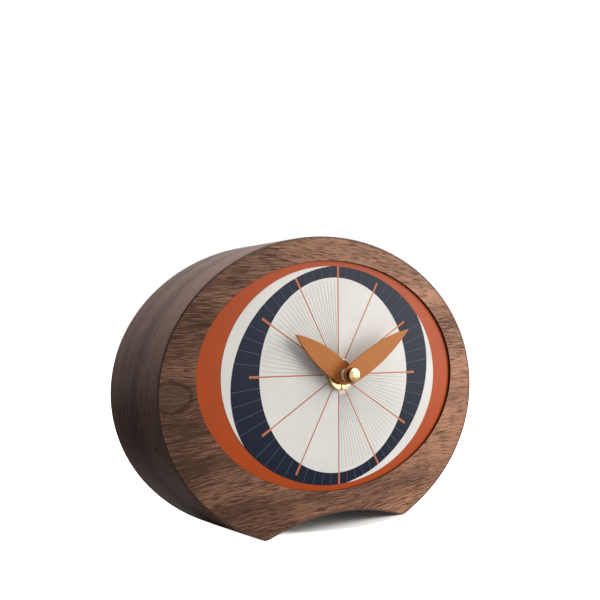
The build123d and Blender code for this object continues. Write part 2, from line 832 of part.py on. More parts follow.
def all_parts():
    side, arch = side_wrap()
    return {
        "core_front_ring": core_ring(0),
        "core_middle_ring": core_ring(1),
        "core_back_ring": core_ring(2),
        "face_veneer": face_veneer(),
        "back_veneer": back_veneer(),
        "side_veneer": side,
        "arch_veneer": arch,
        "dial_plate": dial_plate(),
        "dial_white_crescents": dial_white_crescents(),
        "dial_navy_ring": dial_navy_ring(),
        "dial_centre_disc": dial_centre_disc(),
        "hour_lines": hour_lines(),
        "minute_ticks": minute_ticks(),
        "sunburst_lines": sunburst_lines(),
        "hour_hand": hour_hand(),
        "minute_hand": minute_hand(),
        "cap_nut": cap_nut(),
        "fixing_nut": fixing_nut(),
        "gasket": gasket(),
        "front_housing": front_housing(),
        "back_housing": back_housing(),
        "centre_bush": centre_bush(),
        "middle_plate": middle_plate(),
        "hour_wheel": hour_wheel(),
        "centre_arbor": centre_arbor(),
        "motion_wheel": motion_wheel(),
        "setting_arbor": setting_arbor(),
        "setting_knob": setting_knob(),
        "centre_wheel": centre_wheel(),
        "third_wheel": third_wheel(),
        "seconds_wheel": seconds_wheel(),
        "fifth_wheel": fifth_wheel(),
        "rotor_pinion": rotor_pinion(),
        "rotor_magnet": rotor_magnet(),
        "stator": stator(),
        "coil_core": coil_core(),
        "coil_bobbin": coil_bobbin(),
        "coil_winding": coil_winding(),
        "circuit_board": circuit_board(),
        "timing_chip": timing_chip(),
        "quartz_crystal": quartz_crystal(),
        "contact_positive": contact_positive(),
        "contact_negative": contact_negative(),
        "battery_can": battery_can(),
        "battery_cap": battery_cap(),
        "battery_sleeve": battery_sleeve(),
    }


os.makedirs("parts", exist_ok=True)
for name, shape in all_parts().items():
    export_step(shape, f"parts/{name}.step")
    size = shape.bounding_box().size
    print(f"{name}: {size.X:.2f} x {size.Y:.2f} x {size.Z:.2f} mm, {len(shape.solids())} solids")
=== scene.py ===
# %% [markdown]
# # A wooden desk clock
#
# The clock is a hollow oval of walnut with a dark veneer bent round it, standing on two narrow
# feet. Its sizes come from a CAD model, which is loaded as a fixed frame. This file gives every
# CAD piece a finish, and models anew the pieces where the eye rests: the walnut face, the hands,
# the brass fittings and the movement's case.

# %% Load the CAD frame
import json
import math

import bpy
from mathutils import Matrix, Vector


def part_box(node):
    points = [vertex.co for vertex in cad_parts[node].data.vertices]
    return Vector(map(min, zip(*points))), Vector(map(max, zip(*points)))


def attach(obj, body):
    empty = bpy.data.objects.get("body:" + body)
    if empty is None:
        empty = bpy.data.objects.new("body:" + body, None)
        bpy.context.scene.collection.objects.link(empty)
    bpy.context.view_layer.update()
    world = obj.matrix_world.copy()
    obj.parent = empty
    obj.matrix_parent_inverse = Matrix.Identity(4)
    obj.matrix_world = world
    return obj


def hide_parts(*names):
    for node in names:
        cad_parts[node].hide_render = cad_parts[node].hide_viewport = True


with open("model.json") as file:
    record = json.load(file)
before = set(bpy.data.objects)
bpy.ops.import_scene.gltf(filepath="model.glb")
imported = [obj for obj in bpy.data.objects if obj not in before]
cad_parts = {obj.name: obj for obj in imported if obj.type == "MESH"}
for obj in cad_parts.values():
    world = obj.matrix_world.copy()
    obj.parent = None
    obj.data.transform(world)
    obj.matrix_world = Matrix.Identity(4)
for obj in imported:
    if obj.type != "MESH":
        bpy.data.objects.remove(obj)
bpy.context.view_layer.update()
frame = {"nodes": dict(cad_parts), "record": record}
nodes = frame["nodes"]
print("CAD nodes:", len(nodes))

# %% [markdown]
# ## Camera
#
# The photograph looks at the clock from its left, level with the dial and very slightly upwards.
# Its place and lens were found from the dial's ellipses. A camera looks along its own -Z, so its
# turn is built from three directions: right, up and backwards.

# %% Camera
MM = 0.001
camera_yaw = math.radians(38.41)
camera_pitch = math.radians(3.10)
camera_roll = math.radians(-0.14)
camera_place = Vector((-219.6, -265.35, 76.6)) * MM
camera_lens = 47.36

ahead = Vector((math.sin(camera_yaw) * math.cos(camera_pitch),
                math.cos(camera_yaw) * math.cos(camera_pitch),
                math.sin(camera_pitch)))
level = Vector((math.cos(camera_yaw), -math.sin(camera_yaw), 0))
upward = level.cross(ahead)
right = level * math.cos(camera_roll) + upward * math.sin(camera_roll)
upward = upward * math.cos(camera_roll) - level * math.sin(camera_roll)

bpy.ops.object.camera_add(location=camera_place)
camera = bpy.context.object
camera.name = "photo_camera"
camera.data.lens = camera_lens
camera.data.sensor_width = 36
camera.data.sensor_fit = "HORIZONTAL"
camera.data.clip_start = 0.01
turn = Matrix((right, upward, -ahead)).transposed()
camera.matrix_world = Matrix.Translation(camera_place) @ turn.to_4x4()
bpy.context.scene.camera = camera
bpy.context.scene.view_settings.view_transform = "Standard"
print("camera at", [round(c, 4) for c in camera_place])

# %% [markdown]
# ## Building materials from nodes
#
# A finish is a small tree of nodes. `add_node` adds one node, sets its options and fills its
# inputs, either with a value or with another node's output. `new_finish` starts a material with
# the coordinates of the object in millimetres, which every pattern below reads.

# %% Node helpers
def add_node(tree, kind, inputs=None, **options):
    """Add a node. inputs maps a socket's name or number to a value or to another node's output."""
    made = tree.nodes.new(kind)
    for option, value in options.items():
        setattr(made, option, value)
    for socket, value in (inputs or {}).items():
        if isinstance(value, bpy.types.NodeSocket):
            tree.links.new(value, made.inputs[socket])
        else:
            made.inputs[socket].default_value = value
    return made


def calculate(tree, operation, first, second=0.0, third=0.0, clamp=False):
    """One Math node's result."""
    inputs = {0: first, 1: second, 2: third}
    return add_node(tree, "ShaderNodeMath", inputs, operation=operation, use_clamp=clamp).outputs[0]


print("node helpers ready")

# %% Vector helpers
def scaled(tree, vector, factors):
    """A vector with each of its three parts multiplied."""
    inputs = {0: vector, 1: factors}
    return add_node(tree, "ShaderNodeVectorMath", inputs, operation="MULTIPLY").outputs[0]


def parts_of(tree, vector):
    """A vector's parts, by the names X, Y and Z."""
    return add_node(tree, "ShaderNodeSeparateXYZ", {0: vector}).outputs


def from_parts(tree, **parts):
    """A vector made of the parts X, Y and Z. A part that isn't given is 0."""
    return add_node(tree, "ShaderNodeCombineXYZ", parts).outputs[0]


def lifted(tree, vector, lift):
    """A vector whose Z is raised by a value."""
    inputs = {0: vector, 1: from_parts(tree, Z=lift)}
    return add_node(tree, "ShaderNodeVectorMath", inputs, operation="ADD").outputs[0]


def length_from(tree, vector, start=(0, 0, 0)):
    """How far a place lies from another."""
    inputs = {0: vector, 1: start}
    return add_node(tree, "ShaderNodeVectorMath", inputs, operation="DISTANCE").outputs["Value"]


def oval_reach(tree, parts, centre, half_sizes):
    """How far out a place lies in an upright oval along Y, squared: 0 in its middle, 1 on its rim."""
    off_x = calculate(tree, "DIVIDE", calculate(tree, "SUBTRACT", parts["X"], centre[0]), half_sizes[0])
    off_z = calculate(tree, "DIVIDE", calculate(tree, "SUBTRACT", parts["Z"], centre[1]), half_sizes[1])
    return calculate(tree, "MULTIPLY_ADD", off_x, off_x, calculate(tree, "MULTIPLY", off_z, off_z))


print("vector helpers ready")

# %% Pattern and colour helpers
def noise(tree, vector, scale=1.0, detail=2.0, roughness=0.5):
    """A cloudy pattern from 0 to 1."""
    inputs = {"Vector": vector, "Scale": scale, "Detail": detail, "Roughness": roughness}
    return add_node(tree, "ShaderNodeTexNoise", inputs).outputs[0]


def spread(tree, value, low, high, new_low=0.0, new_high=1.0):
    """Stretch low..high to new_low..new_high with soft ends."""
    inputs = {"Value": value, "From Min": low, "From Max": high, "To Min": new_low, "To Max": new_high}
    return add_node(tree, "ShaderNodeMapRange", inputs, interpolation_type="SMOOTHSTEP").outputs[0]


def mix_colours(tree, share, first, second, blend="MIX"):
    """Blend two colours."""
    inputs = {0: share, 6: first, 7: second}
    return add_node(tree, "ShaderNodeMix", inputs, data_type="RGBA", blend_type=blend).outputs[2]


def colour(red, green, blue):
    """A colour with the fourth part that sockets ask for."""
    return (red, green, blue, 1.0)


print("pattern and colour helpers ready")

# %% Start of a finish
def place_in_mm(tree):
    """The coordinates of the object, in millimetres."""
    place = add_node(tree, "ShaderNodeTexCoord").outputs["Object"]
    return scaled(tree, place, (1 / MM, 1 / MM, 1 / MM))


def new_finish(name, base=(0.5, 0.5, 0.5), rough=0.5, metal=0.0, **shader_values):
    """A material with its shader set. Returns it with its tree, shader and coordinates in mm."""
    material = bpy.data.materials.new(name)
    material.use_nodes = True
    tree = material.node_tree
    shader = tree.nodes["Principled BSDF"]
    shader.inputs["Base Color"].default_value = colour(*base)
    shader.inputs["Roughness"].default_value = rough
    shader.inputs["Metallic"].default_value = metal
    for socket, value in shader_values.items():
        shader.inputs[socket.replace("_", " ")].default_value = value
    return material, tree, shader, place_in_mm(tree)


def raise_surface(tree, shader, height, depth_mm, strength=1.0):
    """Feed a height to the shader's normal."""
    inputs = {"Height": height, "Distance": depth_mm * MM, "Strength": strength}
    bump = add_node(tree, "ShaderNodeBump", inputs)
    tree.links.new(bump.outputs[0], shader.inputs["Normal"])


print("a finish can be started")

# %% [markdown]
# ## Wood grain as a shared group
#
# Walnut shows three things at once: broad bands of paler and darker growth, fine fibres, and
# short dark pores like pencil dashes, all drawn out along the grain. One group makes them for
# every wood here. Its vector runs along the grain in X, and across it in Y and Z, in millimetres.
# The noise is squeezed by different factors along and across, which draws it out into streaks.
# `new_group` makes a group with an input for each value that its user may set, and `end_group`
# adds an output for each result. A picture of wood would be quicker, but it would show its seams
# on the bent side.

# %% Group helpers
def new_group(name, values):
    """A shader group that takes a vector and named values. Returns it with what it is given."""
    group = bpy.data.node_groups.new(name, "ShaderNodeTree")
    group.interface.new_socket(name="Vector", in_out="INPUT", socket_type="NodeSocketVector")
    for value_name, value in values.items():
        kind = "NodeSocketFloat" if isinstance(value, float) else "NodeSocketColor"
        socket = group.interface.new_socket(name=value_name, in_out="INPUT", socket_type=kind)
        socket.default_value = value
    return group, group.nodes.new("NodeGroupInput").outputs


def end_group(group, results):
    """Give a group an output for each result."""
    for name, result in results.items():
        kind = "NodeSocketColor" if result.type == "RGBA" else "NodeSocketFloat"
        group.interface.new_socket(name=name, in_out="OUTPUT", socket_type=kind)
    leaves = group.nodes.new("NodeGroupOutput")
    for name, result in results.items():
        group.links.new(result, leaves.inputs[name])
    print(f"group {group.name}: {len(group.nodes)} nodes")


print("group helpers ready")

# %% Wood grain: bend
wood_grain, given = new_group("wood grain", {
    "Pale": colour(0.5, 0.3, 0.2), "Dark": colour(0.2, 0.1, 0.07), "Pore": colour(0.03, 0.015, 0.01),
    "Heart": 0.0, "Pores": 0.5, "Fibres": 0.5, "Waves": 1.0})


def centred_noise(tree, vector, factors, detail):
    """Noise about zero, drawn out by the three factors."""
    cloudy = noise(tree, scaled(tree, vector, factors), detail=detail)
    return calculate(tree, "SUBTRACT", cloudy, 0.5)


slow_bend = centred_noise(wood_grain, given["Vector"], (0.012, 0.02, 0.016), 1.0)
quick_bend = centred_noise(wood_grain, given["Vector"], (0.09, 0.1, 0.09), 1.0)
slow_bend_mm, quick_bend_mm = 15.0, 1.5
bend = calculate(wood_grain, "MULTIPLY", quick_bend, quick_bend_mm)
bend = calculate(wood_grain, "MULTIPLY_ADD", slow_bend, slow_bend_mm, bend)
bend = calculate(wood_grain, "MULTIPLY", bend, given["Waves"])
bent = lifted(wood_grain, given["Vector"], bend)
print("grain wanders by up to", slow_bend_mm / 2, "mm")

# %% Wood grain: bands and fibres
bands = centred_noise(wood_grain, bent, (0.005, 0.03, 0.085), 3.0)
ripple = centred_noise(wood_grain, bent, (0.15, 0.05, 0.12), 2.0)
fibres = noise(wood_grain, scaled(wood_grain, bent, (0.05, 1.2, 1.5)), detail=4.0, roughness=0.8)
middle_tone, band_weight, ripple_weight, fibre_weight = 0.61, 2.6, 0.4, 2.4
tone_level = calculate(wood_grain, "MULTIPLY_ADD", bands, band_weight, middle_tone)
tone_level = calculate(wood_grain, "MULTIPLY_ADD", ripple, ripple_weight, tone_level)
fibre_part = calculate(wood_grain, "SUBTRACT", fibres, 0.5)
fibre_part = calculate(wood_grain, "MULTIPLY", fibre_part, given["Fibres"])
tone_level = calculate(wood_grain, "MULTIPLY_ADD", fibre_part, fibre_weight, tone_level)
tone_level = calculate(wood_grain, "SUBTRACT", tone_level, given["Heart"], clamp=True)
tone = mix_colours(wood_grain, tone_level, given["Dark"], given["Pale"])
print("bands and fibres:", len(wood_grain.nodes), "nodes so far")

# %% Wood grain: pores
pore_crowd = centred_noise(wood_grain, bent, (0.02, 0.05, 0.07), 1.0)
crowd_weight, pores_weight, pore_softness = 0.3, -0.2, 0.04


def pore_marks(factors, edge):
    """Short dashes where a drawn out noise rises above its edge."""
    field = noise(wood_grain, scaled(wood_grain, bent, factors), detail=1.0)
    level = calculate(wood_grain, "MULTIPLY_ADD", pore_crowd, crowd_weight, field)
    limit = calculate(wood_grain, "MULTIPLY_ADD", given["Pores"], pores_weight, edge)
    return spread(wood_grain, calculate(wood_grain, "SUBTRACT", level, limit), 0.0, pore_softness)


fine_pores = pore_marks((0.16, 2.2, 2.7), 0.645)
long_pores = pore_marks((0.07, 1.5, 2.0), 0.71)
faint_pores = calculate(wood_grain, "MULTIPLY", fine_pores, 0.85)
pore_mask = calculate(wood_grain, "MAXIMUM", faint_pores, long_pores)
tone = mix_colours(wood_grain, calculate(wood_grain, "MULTIPLY", pore_mask, 0.85), tone, given["Pore"])
wood_roughness, pore_roughness = 0.42, 0.22
dullness = calculate(wood_grain, "MULTIPLY_ADD", pore_mask, pore_roughness, wood_roughness)
height = calculate(wood_grain, "SUBTRACT", calculate(wood_grain, "MULTIPLY", fibres, 0.4), pore_mask)
end_group(wood_grain, {"Color": tone, "Roughness": dullness, "Height": height})

# %% [markdown]
# ## Fine texture and lathe marks as shared groups
#
# Lacquer, print and moulded plastic are never perfectly even, so a second group gives a fine
# mottle. A third gives the rings that a lathe leaves on turned brass and steel: they depend only
# on the distance from the arbor's line, which passes through the dial's centre.

# %% Fine texture group
fine_texture, given = new_group("fine texture", {"Grain": 0.5, "Roughness": 0.5})
speckle = noise(fine_texture, given["Vector"], scale=5.0, detail=3.0)
cloud = noise(fine_texture, given["Vector"], scale=0.06, detail=3.0)
cloud_weight, speckle_weight = 0.25, 0.3
tone = calculate(fine_texture, "SUBTRACT", cloud, 0.5)
tone = calculate(fine_texture, "MULTIPLY_ADD", tone, cloud_weight, 1.0)
mottle = calculate(fine_texture, "MULTIPLY_ADD", calculate(fine_texture, "SUBTRACT", speckle, 0.5),
                   calculate(fine_texture, "MULTIPLY", given["Grain"], speckle_weight),
                   given["Roughness"])
end_group(fine_texture, {"Tone": tone, "Roughness": mottle, "Height": speckle})

# %% Lathe marks group
lathe_marks, given = new_group("lathe marks", {"Across": 0.0, "Up": 0.0, "Roughness": 0.3})
parts = parts_of(lathe_marks, given["Vector"])
line = from_parts(lathe_marks, X=given["Across"], Y=parts["Y"], Z=given["Up"])
distance = length_from(lathe_marks, given["Vector"], line)
ring_place = from_parts(lathe_marks, X=distance, Y=parts["Y"])
rings = noise(lathe_marks, scaled(lathe_marks, ring_place, (7, 4, 1)), detail=2.0)
ring_weight = 0.22
ring_rough = calculate(lathe_marks, "MULTIPLY_ADD", calculate(lathe_marks, "SUBTRACT", rings, 0.5),
                       ring_weight, given["Roughness"])
end_group(lathe_marks, {"Roughness": ring_rough, "Height": rings})

# %% [markdown]
# ## Wood finishes
#
# The face is walnut veneer. Its grain runs level near the top and leans more the lower it lies, so
# the level at a place is shifted by how far it lies below that, times its distance from the
# middle. The face is painted darker towards its left end and lighter towards the middle, a painted
# shade for light that comes from the right, and a knot lies at the left. Grain parts above and
# below a knot, so within a soft oval the level is drawn towards the knot's middle, and a smooth
# core and a ragged dark rim are laid over it. The side is a darker strip bent round the case, so
# there the vector along the grain is the way round the oval, and the one across it is the case's
# depth.

# %% Dial and case places
dial_low, dial_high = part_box("dial_centre_disc")
dial_x = (dial_low.x + dial_high.x) / 2
dial_z = (dial_low.z + dial_high.z) / 2
case_low, case_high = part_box("side_veneer")
oval_half_width = (case_high.x - case_low.x) / 2
oval_half_height = 64 * MM
oval_z = case_high.z - oval_half_height
opening_half_width, opening_half_height = 70 * MM, 48 * MM
print("dial centre", round(dial_x / MM, 2), round(dial_z / MM, 2), "oval centre", round(oval_z / MM, 2))

# %% Ways that the grain runs
fan_level, fan_lean = 78.0, 0.0016
knot_centre = (-79.2, 57.0)
knot_half_sizes = (9.2, 6.2)
knot_pull = 0.62
mean_radius = 74.0


def level_grain(tree, place):
    """Grain that runs level."""
    return place


def knot_strength(tree, parts):
    """A soft oval mask about the knot, 1 in its middle."""
    reach = oval_reach(tree, parts, knot_centre, knot_half_sizes)
    return calculate(tree, "EXPONENT", calculate(tree, "MULTIPLY", reach, -1.0))


def fanned_grain(tree, place):
    """Grain that fans out below its level part, and parts above and below the knot."""
    parts = parts_of(tree, place)
    above = calculate(tree, "SUBTRACT", parts["Z"], fan_level)
    lean = calculate(tree, "MULTIPLY", calculate(tree, "MULTIPLY", above, parts["X"]), fan_lean)
    above_knot = calculate(tree, "SUBTRACT", parts["Z"], knot_centre[1])
    give = calculate(tree, "MULTIPLY", above_knot, knot_strength(tree, parts))
    give = calculate(tree, "MULTIPLY", give, -knot_pull)
    return lifted(tree, lifted(tree, place, lean), give)


def grain_round_case(tree, place):
    """Grain that follows the bent side round the oval."""
    parts = parts_of(tree, place)
    up = calculate(tree, "SUBTRACT", parts["Z"], oval_z / MM)
    angle = calculate(tree, "ARCTAN2", parts["X"], up)
    length_round = calculate(tree, "MULTIPLY", angle, mean_radius)
    return from_parts(tree, X=length_round, Z=parts["Y"])


print("grain leans by", fan_lean, "and parts round a knot at", knot_centre)

# %% Wood finish
def wood_finish(name, grain_way, gloss_rough, depth=0.05, **grain_values):
    """Wood whose grain runs in a given way. Returns the material, its tree, shader, place and grain."""
    material, tree, shader, place = new_finish(name, Specular_IOR_Level=0.1)
    inputs = {"Vector": grain_way(tree, place), **grain_values}
    grain = add_node(tree, "ShaderNodeGroup", inputs, node_tree=wood_grain)
    tree.links.new(grain.outputs["Color"], shader.inputs["Base Color"])
    rough = calculate(tree, "ADD", grain.outputs["Roughness"], gloss_rough)
    tree.links.new(rough, shader.inputs["Roughness"])
    raise_surface(tree, shader, grain.outputs["Height"], depth, strength=0.6)
    return material, tree, shader, place, grain


def stain_and_shade_where(tree, shader, mask, stain):
    """Lay a colour over the one that already feeds the shader: a stain, and in places a painted shade."""
    under = shader.inputs["Base Color"].links[0].from_socket
    tree.links.new(mix_colours(tree, mask, under, stain), shader.inputs["Base Color"])


print("wood finish ready")

# %% Walnut
walnut, tree, shader, place, grain = wood_finish(
    "walnut", fanned_grain, gloss_rough=0.05, Fibres=0.9, Waves=1.0,
    Pale=colour(0.40, 0.197, 0.117), Dark=colour(0.100, 0.047, 0.029), Pore=colour(0.038, 0.017, 0.011))
parts = parts_of(tree, place)
far_left = -88.0


def fading_right(at_left, in_middle):
    """A value that changes from the left end of the case to its middle."""
    return spread(tree, parts["X"], far_left, 0.0, at_left, in_middle)


# Painted shade: the face is made darker towards its left end and lighter towards the middle.
tree.links.new(fading_right(0.38, -0.12), grain.inputs["Heart"])
tree.links.new(fading_right(0.7, 0.5), grain.inputs["Pores"])
# Painted shade: a dark stain is laid over the left end of the face.
stain_and_shade_where(tree, shader, fading_right(0.40, 0.0), colour(0.042, 0.019, 0.011))
print("walnut:", len(tree.nodes), "nodes")

# %% Knot, and sawn edge with painted shade
knot = knot_strength(tree, parts)
core_starts, core_full, core_stain = 0.42, 0.75, 0.72
knot_core = spread(tree, knot, core_starts, core_full, 0.0, core_stain)
stain_and_shade_where(tree, shader, knot_core, colour(0.077, 0.044, 0.027))

raggedness, rim_stain = 0.45, 0.75
rim_limits, core_limits = (0.30, 0.44), (0.62, 0.46)
ragged = noise(tree, scaled(tree, place, (0.5, 0.5, 0.9)), detail=4.0, roughness=0.7)
ragged_knot = calculate(tree, "SUBTRACT", ragged, 0.5)
ragged_knot = calculate(tree, "MULTIPLY_ADD", ragged_knot, raggedness, knot)
inside_rim = spread(tree, ragged_knot, *rim_limits)
outside_core = spread(tree, ragged_knot, *core_limits)
knot_rim = calculate(tree, "MULTIPLY", inside_rim, outside_core)
stain_and_shade_where(tree, shader, calculate(tree, "MULTIPLY", knot_rim, rim_stain), colour(0.028, 0.013, 0.008))

# The wall of the dial's opening is stained dark: partly the darker sawn edge of the veneer, partly
# painted shade in the recess.
opening_centre = (dial_x / MM, dial_z / MM)
opening_half_sizes = (opening_half_width / MM, opening_half_height / MM)
just_past_opening, face_back = 1.004, -12.0
out_from_opening = oval_reach(tree, parts, opening_centre, opening_half_sizes)
cut_edge = calculate(tree, "LESS_THAN", out_from_opening, just_past_opening)
on_face = calculate(tree, "LESS_THAN", parts["Y"], face_back)
sawn_edge_and_shade = calculate(tree, "MULTIPLY", cut_edge, on_face)
stain_and_shade_where(tree, shader, sawn_edge_and_shade, colour(0.040, 0.011, 0.008))
print("walnut with its knot:", len(tree.nodes), "nodes")

# %% Side veneer and core board
dark_side_veneer, tree, shader, place, _ = wood_finish(
    "dark_side_veneer", grain_round_case, gloss_rough=0.06, depth=0.02,
    Heart=0.08, Pores=0.1, Fibres=0.6, Waves=0.3,
    Pale=colour(0.212, 0.126, 0.097), Dark=colour(0.088, 0.050, 0.041), Pore=colour(0.037, 0.022, 0.018))
parts = parts_of(tree, place)
# The side veneer's front edge is stained dark as a real edge is, and painted darker still at the left and
# paler towards the right: painted shade and light.
edge_depth, edge_dark_until, edge_pale_from = 0.07, -85.0, -20.0
front_edge = calculate(tree, "LESS_THAN", parts["Y"], case_low.y / MM + edge_depth)
to_the_right = spread(tree, parts["X"], edge_dark_until, edge_pale_from)
edge_stain_and_shade = mix_colours(tree, to_the_right, colour(0.014, 0.006, 0.005), colour(0.12, 0.065, 0.05))
stain_and_shade_where(tree, shader, front_edge, edge_stain_and_shade)

core_board, tree, shader, place, _ = wood_finish(
    "core_board", level_grain, gloss_rough=0.25, Pores=0.2, Fibres=0.3, Waves=0.3,
    Pale=colour(0.42, 0.29, 0.18), Dark=colour(0.31, 0.20, 0.12), Pore=colour(0.2, 0.12, 0.07))
ring_depth, glue_half_width = 12.0, 0.12
rings_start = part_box("core_front_ring")[0].y / MM
depth_in_ring = calculate(tree, "SUBTRACT", parts_of(tree, place)["Y"], rings_start - ring_depth / 2)
to_and_fro = calculate(tree, "PINGPONG", depth_in_ring, ring_depth / 2)
from_joint = calculate(tree, "ABSOLUTE", calculate(tree, "SUBTRACT", to_and_fro, ring_depth / 2))
glue_line = calculate(tree, "LESS_THAN", from_joint, glue_half_width)
stain_and_shade_where(tree, shader, calculate(tree, "MULTIPLY", glue_line, 0.7), colour(0.10, 0.06, 0.035))
print("wood finishes:", walnut.name, dark_side_veneer.name, core_board.name)

# %% [markdown]
# ## Plain finishes
#
# Lacquer, print, plastic and rubber share one recipe: a colour that drifts a little over the
# surface, and a fine mottle in its roughness. Metals get their colour from their reflections, so
# turned pieces have lathe marks, and stamped ones a fine grain. Three surfaces get more: the grey
# rays are darker near the hub and towards three and nine o'clock, and paler outwards and towards
# twelve and six, the side of the cap nut is painted dark brown, a painted reflection, and the
# dial's board is bare behind. The hour wheel's pipe, which shows as a bright ring between the
# hands, isn't pure metal and is nearly white, a painted highlight, so that it stays bright
# wherever it is seen from.

# %% Smooth and turned finishes
def smooth_finish(name, base, rough, grain=0.3, bump=0.0, metal=0.0, **shader_values):
    """A smooth surface that drifts a little in tone and roughness."""
    material, tree, shader, place = new_finish(name, base, rough, metal, **shader_values)
    inputs = {"Vector": place, "Grain": grain, "Roughness": rough}
    texture = add_node(tree, "ShaderNodeGroup", inputs, node_tree=fine_texture)
    toned = mix_colours(tree, 1.0, colour(*base), texture.outputs["Tone"], "MULTIPLY")
    tree.links.new(toned, shader.inputs["Base Color"])
    tree.links.new(texture.outputs["Roughness"], shader.inputs["Roughness"])
    if bump:
        raise_surface(tree, shader, texture.outputs["Height"], bump)
    return material


def turned_finish(name, base, rough):
    """Metal turned on a lathe about the arbor's line."""
    material, tree, shader, place = new_finish(name, base, rough, 1.0)
    inputs = {"Vector": place, "Across": dial_x / MM, "Up": dial_z / MM, "Roughness": rough}
    marks = add_node(tree, "ShaderNodeGroup", inputs, node_tree=lathe_marks)
    tree.links.new(marks.outputs["Roughness"], shader.inputs["Roughness"])
    raise_surface(tree, shader, marks.outputs["Height"], 0.006)
    return material


def from_arbor(tree, place):
    """A place's parts seen from the arbor's line, and its distance from that line."""
    inputs = {0: place, 1: (dial_x / MM, 0, dial_z / MM)}
    seen_from = add_node(tree, "ShaderNodeVectorMath", inputs, operation="SUBTRACT").outputs[0]
    parts = parts_of(tree, seen_from)
    return parts, length_from(tree, from_parts(tree, X=parts["X"], Z=parts["Z"]))


print("smooth and turned finishes ready")

# %% Grey rays
matte = {"Specular_IOR_Level": 0.1}
grey_print, tree, shader, place = new_finish("grey_print", rough=0.55, **matte)
parts, ray_distance = from_arbor(tree, place)
sideways = calculate(tree, "ABSOLUTE", parts["X"])
steepness = calculate(tree, "ABSOLUTE", calculate(tree, "ARCTAN2", parts["Z"], sideways))
rays_start, rays_end, steep = 6.0, 41.0, 1.2
# The rays are made darker near the hub and towards three and nine o'clock, and paler outwards and towards
# twelve and six.
pale_out = spread(tree, ray_distance, rays_start, rays_end, 0.0, 0.6)
pale_up = spread(tree, steepness, 0.0, steep, 0.0, 0.25)
paleness = calculate(tree, "ADD", pale_out, pale_up, clamp=True)
ray_tone = mix_colours(tree, paleness, colour(0.17, 0.19, 0.20), colour(0.60, 0.60, 0.585))
tree.links.new(ray_tone, shader.inputs["Base Color"])
print("grey rays:", len(tree.nodes), "nodes")

# %% All finishes
# The values after a name are colour, roughness, mottle and bump in millimetres.
orange_gloss = {"Specular_IOR_Level": 0.11}
navy_gloss = {"Specular_IOR_Level": 0.09}
finishes = {
    "walnut": walnut,
    "dark_side_veneer": dark_side_veneer,
    "core_board": core_board,
    "orange_plate": smooth_finish("orange_plate", (0.37, 0.053, 0.004), 0.36, 0.5, 0.006, **orange_gloss),
    "white_print": smooth_finish("white_print", (0.665, 0.655, 0.635), 0.55, 0.4, 0.004, **matte),
    "navy_print": smooth_finish("navy_print", (0.003, 0.008, 0.023), 0.36, 0.5, 0.004, **navy_gloss),
    "orange_print": smooth_finish("orange_print", (0.45, 0.145, 0.070), 0.5, 0.3, **matte),
    "pale_print": smooth_finish("pale_print", (0.060, 0.085, 0.135), 0.5, 0.3, **matte),
    "grey_print": grey_print,
    "hand_paint": smooth_finish("hand_paint", (0.41, 0.145, 0.034), 0.45, 0.5, 0.004, **matte),
    "brass": turned_finish("brass", (0.58, 0.43, 0.22), 0.24),
    "steel": turned_finish("steel", (0.80, 0.79, 0.78), 0.35),
    "pipe_painted_bright": smooth_finish("pipe_painted_bright", (0.90, 0.88, 0.85), 0.4, 0.4, metal=0.2),
    "soft_iron": smooth_finish("soft_iron", (0.30, 0.30, 0.31), 0.4, 0.8, 0.01, metal=1.0),
    "magnet": smooth_finish("magnet", (0.10, 0.10, 0.11), 0.35, 0.6, 0.01, metal=1.0),
    "black_plastic": smooth_finish("black_plastic", (0.018, 0.018, 0.019), 0.48, 0.9, 0.02),
    "white_plastic": smooth_finish("white_plastic", (0.72, 0.72, 0.68), 0.45, 0.3, 0.004),
    "black_rubber": smooth_finish("black_rubber", (0.02, 0.02, 0.02), 0.75, 0.5, 0.02),
    "copper_wire": smooth_finish("copper_wire", (0.62, 0.22, 0.09), 0.3, 0.4, 0.01, metal=1.0),
    "green_board": smooth_finish("green_board", (0.02, 0.14, 0.06), 0.35, 0.5, 0.01),
    "black_resin": smooth_finish("black_resin", (0.012, 0.012, 0.013), 0.15, 0.2),
    "crystal_can": smooth_finish("crystal_can", (0.72, 0.72, 0.72), 0.18, 0.3, metal=1.0),
    "contact_spring": smooth_finish("contact_spring", (0.66, 0.65, 0.62), 0.28, 0.4, metal=1.0),
    "cell_steel": smooth_finish("cell_steel", (0.62, 0.62, 0.62), 0.3, 0.4, metal=1.0),
    "cell_sleeve": smooth_finish("cell_sleeve", (0.10, 0.13, 0.17), 0.22, 0.3),
}
print("finishes:", len(finishes))

# %% Cap side painted dark, a painted reflection, and bare back of the dial
tree = finishes["brass"].node_tree
shader = tree.nodes["Principled BSDF"]
parts, axis_distance = from_arbor(tree, place_in_mm(tree))
# Painted reflection: the side of the cap nut is painted dark brown, standing in for the dark things that
# polished brass mirrors there.
cap_side_from, hand_front = 2.85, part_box("minute_hand")[0].y / MM + 0.01
past_dome = calculate(tree, "GREATER_THAN", axis_distance, cap_side_from)
before_hand = calculate(tree, "LESS_THAN", parts["Y"], hand_front)
cap_side = calculate(tree, "MULTIPLY", past_dome, before_hand)
new_brass = shader.inputs["Base Color"].default_value
cap_brass_with_painted_reflection = mix_colours(tree, cap_side, new_brass, colour(0.16, 0.065, 0.03))
tree.links.new(cap_brass_with_painted_reflection, shader.inputs["Base Color"])

tree = finishes["orange_plate"].node_tree
dial_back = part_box("dial_plate")[1].y / MM - 0.05
bare = calculate(tree, "GREATER_THAN", parts_of(tree, place_in_mm(tree))["Y"], dial_back)
stain_and_shade_where(tree, tree.nodes["Principled BSDF"], bare, colour(0.36, 0.25, 0.16))
print("cap side painted dark, dial bare behind", round(dial_back, 2))

